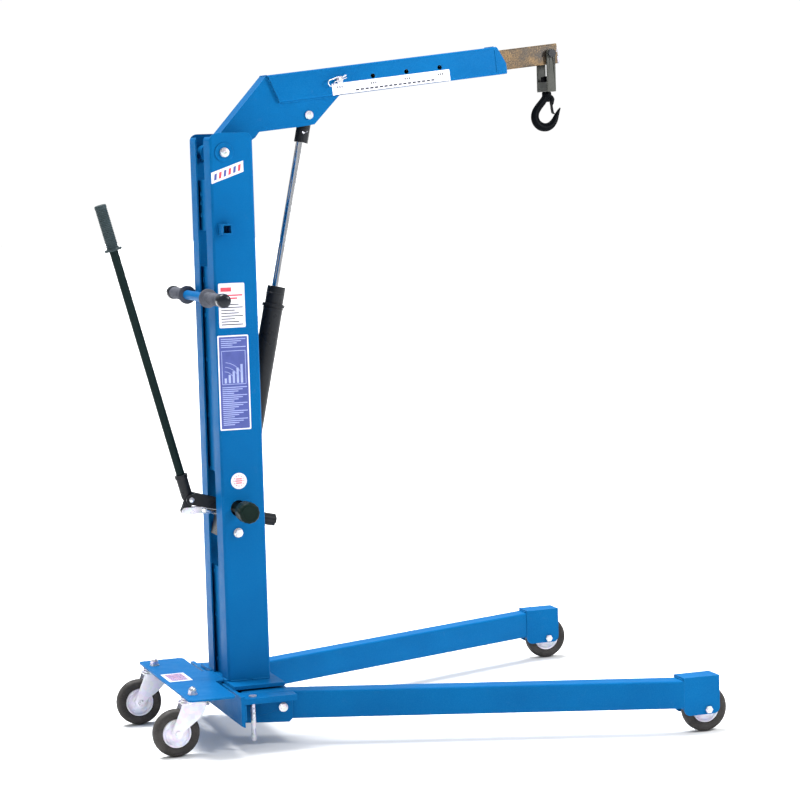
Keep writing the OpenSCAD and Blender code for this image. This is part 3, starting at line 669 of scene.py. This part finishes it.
def closed_lathe(shape, base, axis, section, steps):
    """Ring made by turning a closed section of (radius, distance along axis)."""
    axis = Vector(axis).normalized()
    side = axis.orthogonal().normalized()
    other = axis.cross(side)
    rings = []
    for i in range(steps):
        a = 2 * math.pi * i / steps
        spoke = side * math.cos(a) + other * math.sin(a)
        rings.append([Vector(base) + axis * (h / 1000) + spoke * (r / 1000) for r, h in section])
    return shape.loft(rings, closed=True)


# where the moulded line on the tyre's wall and the rim's rivets lie, in metres
LINE_RADIUS = 0.0512
RIVET_RADIUS = 0.0287
RIVET_OUT = 0.0056


def wheel(tag, tyre_node, hub_node, body):
    """Moulded tyre with its wall lines, and a pressed rim with five rivets a side."""
    lo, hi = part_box(tyre_node)
    centre = (lo + hi) / 2
    axis = Vector((0, 1, 0))
    tyre = closed_lathe(Shape(), centre, axis, ring_profile(TYRE_HALF), 96)
    tyre.make(tag + "_tyre_moulded", body, TYRE, "tyre", sharp=50, replaces=(tyre_node,))
    lines = Shape()
    for h in (-17.4, 17.4):
        circle_path = [centre + Vector((math.cos(a) * LINE_RADIUS, h / 1000, math.sin(a) * LINE_RADIUS))
                       for a in (2 * math.pi * k / 72 for k in range(72))]
        lines.rod(circle_path, 0.7, 6, closed=True)
    lines.make(tag + "_tyre_lines", body, TYRE, "tyre")
    rim = closed_lathe(Shape(), centre, axis, ring_profile(RIM_HALF), 72)
    for side in (-1, 1):
        for k in range(5):
            a = math.radians(72 * k + 20)
            spot = centre + Vector((math.cos(a) * RIVET_RADIUS, side * RIVET_OUT, math.sin(a) * RIVET_RADIUS))
            rim.lathe(spot, (0, side, 0), [(3.2, -0.4), (3.2, 0.6), (2.6, 1.5), (1.2, 2.0), (0.1, 2.1)], 14)
    rim.make(tag + "_rim_pressed", body, PRESSED, "zinc_plate", sharp=42, replaces=(hub_node,))


for tag in ("right", "left"):
    wheel("rear_" + tag, "rear_tyre_" + tag, "rear_hub_" + tag, "rear_wheel_" + tag)
    wheel("front_" + tag, "front_tyre_" + tag, "front_hub_" + tag, "front_wheel_" + tag)


# ------------------------------------------------------------------ casters
# how far the stud stands ahead of the wheel's axle
TRAIL = 48


def caster(tag):
    """Pressed fork with two tapering legs, under a swivel race with its ring of balls."""
    node = "caster_fork_" + tag
    lo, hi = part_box("rear_tyre_" + tag)
    axle = (lo + hi) / 2
    stud_x = (axle.x - MAST_X) * 1000 + TRAIL
    mid_y = axle.y * 1000

    def spot(dx, dy, z):
        return at(stud_x + dx, mid_y + dy, z)

    shell = Shape()
    # height, then the fore and aft places of the leg's outer edges and flat, from the stud
    rows = [(141.0, -34, -22, 4, 31), (132.0, -36, -24, 2, 31), (118.0, -42, -30, -4, 28),
            (100.0, -50, -38, -14, 14), (84.0, -58, -47, -28, -8), (70.0, -62, -54, -40, -29),
            (57.0, -60, -54, -45, -35), (49.5, -54, -51, -47, -42)]
    spread = 25.6
    for leg in (-1, 1):
        grid = []
        for z, back, flat_back, flat_front, front in rows:
            grid.append([(back, leg * (spread - 5.5), z), (flat_back, leg * spread, z),
                         (flat_front, leg * spread, z), (front, leg * (spread - 1.0), z)])
        outer = [[spot(*p) for p in row] for row in grid]
        inner = [[spot(p[0], p[1] - leg * 2.6, p[2]) for p in row] for row in grid]
        count = len(rows)
        across = 4
        verts = [p for row in outer for p in row] + [p for row in inner for p in row]
        faces = []
        off = count * across
        for i in range(count - 1):
            for j in range(across - 1):
                low = i * across + j
                q = (low, low + 1, low + across + 1, low + across)
                faces.append(q)
                faces.append(tuple(off + k for k in reversed(q)))
        # once round the leg's outline, to close its two skins
        rim = [i * across for i in range(count)] + [(count - 1) * across + j for j in range(1, across)]
        rim += [i * across + across - 1 for i in range(count - 2, -1, -1)] + list(range(across - 2, 0, -1))
        for k, a in enumerate(rim):
            b = rim[(k + 1) % len(rim)]
            faces.append((b, a, off + a, off + b))
        shell.add(verts, faces)
    shell.make(node + "_legs", "caster_" + tag, PRESSED, "zinc_plate", sharp=50, subdivide=2,
               replaces=(node,))
    head = Shape()
    head.prism(lambda u, v, w: spot(u, v, w), rect(-35, -26, 31.5, 26, 9), 138.8, 142)
    head.lathe(spot(0, 0, 142), (0, 0, 1),
               [(7.1, 0), (31, 0), (32.5, 1.2), (32.8, 3.6), (31, 4.8), (28.4, 5.2), (28.0, 6.6), (30.2, 7.2),
                (31.6, 8.2), (31.4, 10.2), (30, 11.2), (7.1, 11.2)], 56)
    for k in range(24):
        a = 2 * math.pi * k / 24
        head.lathe(spot(28.2 * math.cos(a), 28.2 * math.sin(a), 148), (0, 0, 1),
                   [(0.1, -2.2), (1.6, -1.5), (2.2, 0), (1.6, 1.5), (0.1, 2.2)], 8)
    head.make(node + "_swivel", "caster_" + tag, ZINC, "zinc_plate", sharp=35)


caster("right")
caster("left")


# ------------------------------------------------------------------ grips and knob
def ribbed(length, radius, rib, pitch, start):
    """Profile of a grip with ribs that stand rib proud, one each pitch."""
    profile, along = [], start
    while along < start + length - 0.01:
        profile += [(radius, along), (radius, along + pitch * 0.35),
                    (radius + rib, along + pitch * 0.55), (radius + rib, along + pitch * 0.85)]
        along += pitch
    return profile


for side, tag in ((-1, "right"), (1, "left")):
    grip = Shape()
    base = at(PUSH_BAR[0], side * 106, PUSH_BAR[1])
    profile = [(13.0, 0), (23.6, 0), (24.9, 1.2), (25, 3.6), (23.8, 5.2), (18.2, 6.4), (16.2, 8.5)]
    profile += ribbed(125, 15.4, 1.0, 5.0, 12)
    profile += [(16.0, 138.5), (15.6, 141), (0.2, 141)]
    grip.lathe(base, (0, side, 0), profile, 40)
    cap = Shape()
    cap.lathe(base, (0, side, 0),
              [(15.4, 140), (17.8, 140.4), (18.6, 142.5), (18.7, 158), (18.0, 162.4), (16.0, 165.8),
               (12.6, 168.0), (8.0, 168.9), (0.2, 169)], 40)
    cap.make("push_grip_cap_" + tag, "frame", GRIP_CAP, "grip_rubber", sharp=50)
    grip.make("push_grip_ribbed_" + tag, "frame", GRIP, "grip_rubber", sharp=60,
              replaces=("push_grip_" + tag,))

lever_grip = Shape()
profile = [(11.7, 0), (22.4, 0), (23.9, 1.0), (24, 3.4), (22.8, 5.0), (17.4, 6.2), (15.8, 8.2)]
profile += ribbed(104, 14.7, 1.2, 4.6, 10)
profile += [(15.8, 116), (16, 120.4), (15.0, 122.8), (12.0, 123.9), (0.2, 124)]
lever_grip.lathe(on_lever(0, 0, 694), on_lever(0, 0, 1) - on_lever(0, 0, 0), profile, 40)
lever_grip.make("lever_grip_ribbed", "handle", LEVER_GRIP, "grip_rubber", sharp=60,
                replaces=("handle_grip",))

knob = Shape()
knob_base = on_ram(KNOB_AT[0], -14, KNOB_AT[1])
knob.lathe(knob_base, (0, -1, 0), [(6, 0), (6, 22), (13.4, 22.4), (14, 23.2), (14, 146), (13.6, 148.5)], 40)
knob.lathe(knob_base, (0, -1, 0),
           [(12, 148.5), (22, 148.6), (26.4, 150), (28, 153), (28, 194), (27.2, 197.6), (25, 200),
            (22.4, 201.2), (20.2, 201.6), (19.4, 200.6), (0.2, 200.2)], 96,
           wobble=lambda a, h: 1 - (0.035 * (0.5 + 0.5 * math.cos(12 * a)) if 149 < h < 199 else 0))
knob.make("release_knob_fluted", "release_knob", KNOB, "black_paint", sharp=40, replaces=("release_knob",))


# ------------------------------------------------------------------ hook
def smooth_path(points, per=6):
    """Catmull-Rom curve through (x, z, radius) points."""
    out = []
    for i in range(len(points) - 1):
        p0, p1 = points[max(i - 1, 0)], points[i]
        p2, p3 = points[i + 1], points[min(i + 2, len(points) - 1)]
        for k in range(per):
            t = k / per
            out.append(tuple(0.5 * (2 * b + (c - a) * t + (2 * a - 5 * b + 4 * c - d) * t * t
                                    + (3 * b - a - 3 * c + d) * t ** 3)
                             for a, b, c, d in zip(p0, p1, p2, p3)))
    out.append(points[-1])
    return out


hook = Shape()
bowl = smooth_path([(HOOK_X, 1703, 9.0), (HOOK_X - 1.5, 1694, 10.2), (932.5, 1686, 10.8),
                    (924.5, 1674.5, 11.2), (911.5, 1659.5, 11.6), (902.5, 1645, 12.2),
                    (900.4, 1630, 12.8), (905.8, 1615.8, 13.3),
                    (917.8, 1606.3, 13.3), (933.5, 1603.8, 12.4), (948.2, 1609.9, 11.0), (958.8, 1622.3, 9.2),
                    (965.4, 1636.5, 6.8), (971.4, 1648.4, 4.2), (976.4, 1656.5, 1.6)])
hook.rod([at(x, 0, z) for x, z, _ in bowl], [r for _, _, r in bowl], 20, flat=0.86)
hook.lathe(at(HOOK_X, 0, 1684), (0, 0, 1), [(9.5, 0), (12.2, 3), (13, 8), (13, 14), (11.6, 16.6)], 32)
hook.lathe(at(HOOK_X, 0, 1700), (0, 0, 1), [(8, 0), (8, 42.6), (7.2, 43.6), (0.1, 43.8)], 24)
hook.lathe(at(HOOK_X, 0, 1728.4), (0, 0, 1), [(14.8, 0), (15, 1.5), (15, 11), (13.8, 13), (8.1, 13)], 6)
hook.prism(lambda u, v, w: at(u, w, v),
           [(928, 1699), (943, 1699), (955.5, 1687.5), (957, 1681), (953, 1675.5), (940, 1673), (928, 1676)],
           -4, 4)
hook.make("hook_forged", "hook", FORGED, "black_paint", sharp=45, replaces=("hook",))

latch = Shape()
for side in (-1, 1):
    latch.prism(lambda u, v, w: at(u, w * side, v), [(948, 1685), (955, 1686), (957.5, 1681), (954.5, 1668),
                                                     (949.5, 1662), (947.6, 1670)], 4.8, 6.4)
latch.prism(lambda u, v, w: at(u, w, v),
            [(948.6, 1669), (951.0, 1669.4), (952.6, 1655), (954.6, 1645), (957.6, 1641), (956.4, 1639.4),
             (951.9, 1643), (949.8, 1655)], -6.4, 6.4)
latch.lathe(at(LATCH_PIN[0], -8.6, LATCH_PIN[1]), (0, 1, 0),
            [(0.1, 0), (4.2, 0), (4.6, 1.0), (4.2, 2.0), (3.1, 2.2), (3.1, 15), (4.2, 15.2), (4.6, 16.2),
             (4.2, 17.2), (0.1, 17.2)], 20)
# four turns of spring wire round the latch's pin
coil = [at(LATCH_PIN[0] + 5.1 * math.cos(a), 4.5 - 9.0 * a / (8 * math.pi), LATCH_PIN[1] + 5.1 * math.sin(a))
        for a in (2 * math.pi * k / 16 for k in range(65))]
latch.rod([coil[0]] + coil, 0.7, 6)
latch.make("latch_sprung", "latch", FORGED, "zinc_plate", sharp=40, replaces=("latch",))


# ------------------------------------------------------------------ clips, bolts, rings
def wire(place, points, radius, name, body):
    """Bent spring wire through (u, v) points of the plane place(u, v)."""
    curve = smooth_path([(u, v, 0) for u, v in points], 5)
    bent = Shape().rod([place(u, v) for u, v, _ in curve], radius, 8)
    bent.make(name, body, ZINC, "zinc_plate", sharp=60)


pin = Shape()
pin.lathe(on_boom(LOCK_HOLE[0], -30, LOCK_HOLE[1]), (0, -1, 0),
          [(5.6, 0), (6.5, 1), (6.5, 13), (9, 13.2), (9, 19), (8, 20), (6.5, 20.2), (6.5, 26.6), (5.2, 28),
           (0.1, 28)], 32)
pin.make("lock_pin_turned", "lock_pin", ZINC, "zinc_plate", replaces=("lock_pin",))
eye = [(-306 + 8.5 * math.cos(a), -3 - 8.5 * math.sin(a)) for a in (0.5 * k for k in range(1, 10))]
wire(lambda u, v: on_boom(u, -54, v),
     [(-262, 6), LOCK_HOLE, (-296, -1.6)] + eye
     + [(-300, 6.4), (-290, 9.4), (-279.5, 10.6), (-271, 8.4), (-262, 13)],
     1.5, "lock_pin_clip", "lock_pin")
wire(lambda u, v: at(u, -49.5, v),
     [(947.6, 1808), (949.0, 1817), (951.2, 1819.4), (952.6, 1816), (954.6, 1781), (953.8, 1777.6),
      (952.0, 1780), (951.0, 1796)],
     0.9, "hook_bolt_clip", "extension")

small = Shape()
for side in (-1, 1):
    small.lathe(at(BOOM_PIVOT[0], side * 113.6, BOOM_PIVOT[1]), (0, side, 0),
                [(10, -0.6), (10.9, 0), (10.9, 1.2), (9.2, 2.2), (3.6, 2.4), (2.8, 1.4), (0.1, 1.2)], 32)
    small.lathe(at(RAM_FOOT[0], side * 107.4, RAM_FOOT[1]), (0, side, 0),
                [(12.4, -2.4), (12.8, -1.8), (12.8, 0), (12.2, 0.6)], 32)
small.make("pivot_washers", "frame", ZINC, "zinc_plate")

ram_pins = Shape()
for side in (-1, 1):
    ram_pins.lathe(at(RAM_PIN[0], side * 36, RAM_PIN[1]), (0, side, 0),
                   [(9.7, -0.4), (9.9, 1.2), (8.8, 2.2), (3.4, 2.4), (2.6, 1.4), (0.1, 1.2)], 32)
    # open snap ring in the pin's groove
    snap = [at(RAM_PIN[0] + 10.4 * math.cos(a), side * 36.9, RAM_PIN[1] + 10.4 * math.sin(a))
            for a in (2 * math.pi * k / 40 for k in range(37))]
    ram_pins.rod(snap, 0.8, 6)
ram_pins.make("ram_pin_rings", "boom", ZINC, "zinc_plate")

pump = Shape()
ram_up = on_ram(0, 0, 1) - on_ram(0, 0, 0)
pump.lathe(on_ram(-20, 0, 75), ram_up, [(7, -0.5), (7, 5), (6, 6.4), (0.1, 6.6)], 6)
for y in (-17, 17):
    pump.lathe(on_ram(-24, y, 75), ram_up,
               [(5.4, -0.5), (5.4, 4.6), (4.8, 5.4), (2.6, 5.4), (2.5, 3.2), (0.1, 3.1)], 20)
pump.make("pump_block_bolts", "pump_unit", ZINC, "zinc_plate")
for side, tag in ((-1, "right"), (1, "left")):
    heads = Shape()
    heads.lathe(at(LEVER_PIN[0], side * 21.4, LEVER_PIN[1]), (0, side, 0),
                [(6.4, 0), (6.8, 1), (6.8, 4.2), (5.6, 5.2), (0.1, 5.4)], 24)
    heads.make("lever_pin_head_" + tag, "pump_unit", ZINC, "zinc_plate")
ring = Shape()
for z in (88, 600):
    ring.lathe(on_ram(RAM_AXIS, 0, z), ram_up,
               [(26.2, -2.6), (27.4, -1.6), (27.6, 0), (27.4, 1.6), (26.2, 2.6)], 48)
ring.lathe(on_ram(RAM_AXIS, 0, 640), ram_up,
           [(24.2, -3), (25.2, -2), (25.2, 2), (24.2, 3)], 48)
ring.make("cylinder_welds", "pump_unit", BLACK, "black_paint")

# radius of the rod's black end
ROD_END = 18.6


def on_rod_end(u, v, w):
    """Point w proud of the round rod end, at v up the ram."""
    sink = ROD_END * (1 - math.sqrt(max(0.0, 1 - (u / ROD_END) ** 2)))
    return on_ram(RAM_AXIS + u, -18.55 - w + sink, v)


mark = Shape()
mark.prism(on_rod_end,
           [(-7, 1077), (-1.6, 1073), (1.4, 1076), (7.5, 1079), (8.2, 1082), (1.2, 1080), (-2, 1077.4),
            (-5.4, 1080)], -0.2, 0.15)
mark.make("rod_end_mark", "rod", WHITE, "black_paint")


# ------------------------------------------------------------------ labels
def label(name, body, place, outline, material, thick=0.35, start=0.0):
    """Flat film of one colour, start proud of the surface."""
    Shape().prism(place, outline, start, start + thick).make(name, body, material, "blue_paint")


def print_on(name, body, place, outlines, material, start=0.3, thick=0.14):
    """Many outlines of one ink on a label, as one piece."""
    ink = Shape()
    for outline in outlines:
        ink.prism(place, outline, start, start + thick)
    ink.make(name, body, material, "blue_paint")


def bar(x0, y0, x1, y1, width):
    """Straight bar between two points."""
    d = Vector((x1 - x0, y1 - y0)).normalized() * (width / 2)
    return [(x0 + d.y, y0 - d.x), (x1 + d.y, y1 - d.x), (x1 - d.y, y1 + d.x), (x0 - d.y, y0 + d.x)]


# plain striped plate near the top of the mast
label("mast_name_plate", "frame", mast_side,
      [(-56.5, 1478), (30.5, 1508), (30.5, 1537), (-56.5, 1507)], WHITE)
stripes = []
rise = 30 / 87
for k in range(6):
    u = -50 + k * 13
    low = 1478 + (u + 56.5) * rise + 6
    high = 1507 + (u + 56.5) * rise - 6
    stripes.append([(u, low), (u + 7, low + 7 * rise), (u + 9, high + 7 * rise), (u + 2, high)])
print_on("mast_name_stripes_a", "frame", mast_side, stripes[::2], VIOLET)
print_on("mast_name_stripes_b", "frame", mast_side, stripes[1::2], RED)

# white card with plain bars
label("mast_white_card", "frame", mast_side, rect(-49, 1101, 22, 1218, 3), WHITE)
print_on("mast_white_card_red", "frame", mast_side,
         [rect(-43, 1196, -14, 1207), rect(-43, 1184, 16, 1188), rect(-43, 1176, 2, 1180)], RED)
print_on("mast_white_card_ink", "frame", mast_side,
         [rect(-43, 1108 + 7.5 * k, 16 - 11 * (k % 3), 1110.6 + 7.5 * k) for k in range(8)], INK)

# violet data card: rows of thin plain bars round a plain chart
label("mast_data_card", "frame", mast_side, rect(-56, 831, 28, 1081, 3), WHITE)
label("mast_data_card_field", "frame", mast_side, rect(-52.5, 834.5, 24.5, 1077.5, 2), VIOLET, 0.14, 0.3)
rows = []
for top, count in ((1071, 5), (944, 20)):
    for k in range(count):
        z = top - k * 5.2
        rows.append(rect(-47, z - 1.1, 20 - 12 * ((k * 5) % 4), z + 1.1))
rows += [bar(-46, 952, 18, 952, 1.4), bar(-46, 952, -46, 1040, 1.4), bar(-46, 1040, 18, 1040, 1.4),
         bar(18, 952, 18, 1040, 1.4)]
rows += [rect(-40 + 11 * k, 955, -34 + 11 * k, 968 + 9 * k) for k in range(5)]
for radius in (30, 42, 54):
    arc = circle(-42, 956, radius, 12, math.radians(24), math.radians(60))
    rows += [bar(*arc[k], *arc[k + 1], 1.2) for k in range(11)]
print_on("mast_data_card_lines", "frame", mast_side, rows, PALE, 0.42, 0.12)

# round label
label("mast_round_label", "frame", mast_side, circle(-11, 695, 21.5, 40), WHITE)
ring_marks = [circle(-11 + 13.5 * math.cos(a), 695 + 13.5 * math.sin(a), 1.5, 8)
              for a in (2 * math.pi * k / 12 for k in range(12))]
print_on("mast_round_label_dots", "frame", mast_side, ring_marks, RED)
print_on("mast_round_label_bars", "frame", mast_side,
         [rect(-19, 699, -3, 702), rect(-21, 693.5, -1, 696.5), rect(-19, 688, -3, 691)], RED)

# load strip on the boom, with a mark for each locking hole
label("boom_load_strip", "boom", boom_side, rect(-302, -37, 35, -6, 1.5), WHITE)
marks = []
for hole in range(4):
    first = LOCK_HOLE[0] + HOLE_PITCH * hole - 8
    marks += [rect(first + 6 * j, -19, first + 6 * j + 3.4, -14) for j in range(3)]
marks += [rect(-236 + 13.5 * j, -31.5, -236 + 13.5 * j + 9.5, -27) for j in range(17)]
marks += [rect(-296, -37, 30, -36)]
print_on("boom_load_strip_marks", "boom", boom_side, marks, INK)

# small striped plate on the caster plate
label("base_plate_card", "frame", plate_top, rect(-30, -200, 75, -137, 1.5), WHITE)
steps = [15 * k for k in range(6)]
print_on("base_plate_card_stripes", "frame", plate_top,
         [[(u - 22, -192), (u - 14, -192), (u - 11, -145), (u - 19, -145)] for u in steps], VIOLET)
print_on("base_plate_card_dashes", "frame", plate_top,
         [[(u - 12.5, -192), (u - 9.5, -192), (u - 6.5, -145), (u - 9.5, -145)] for u in steps], RED)
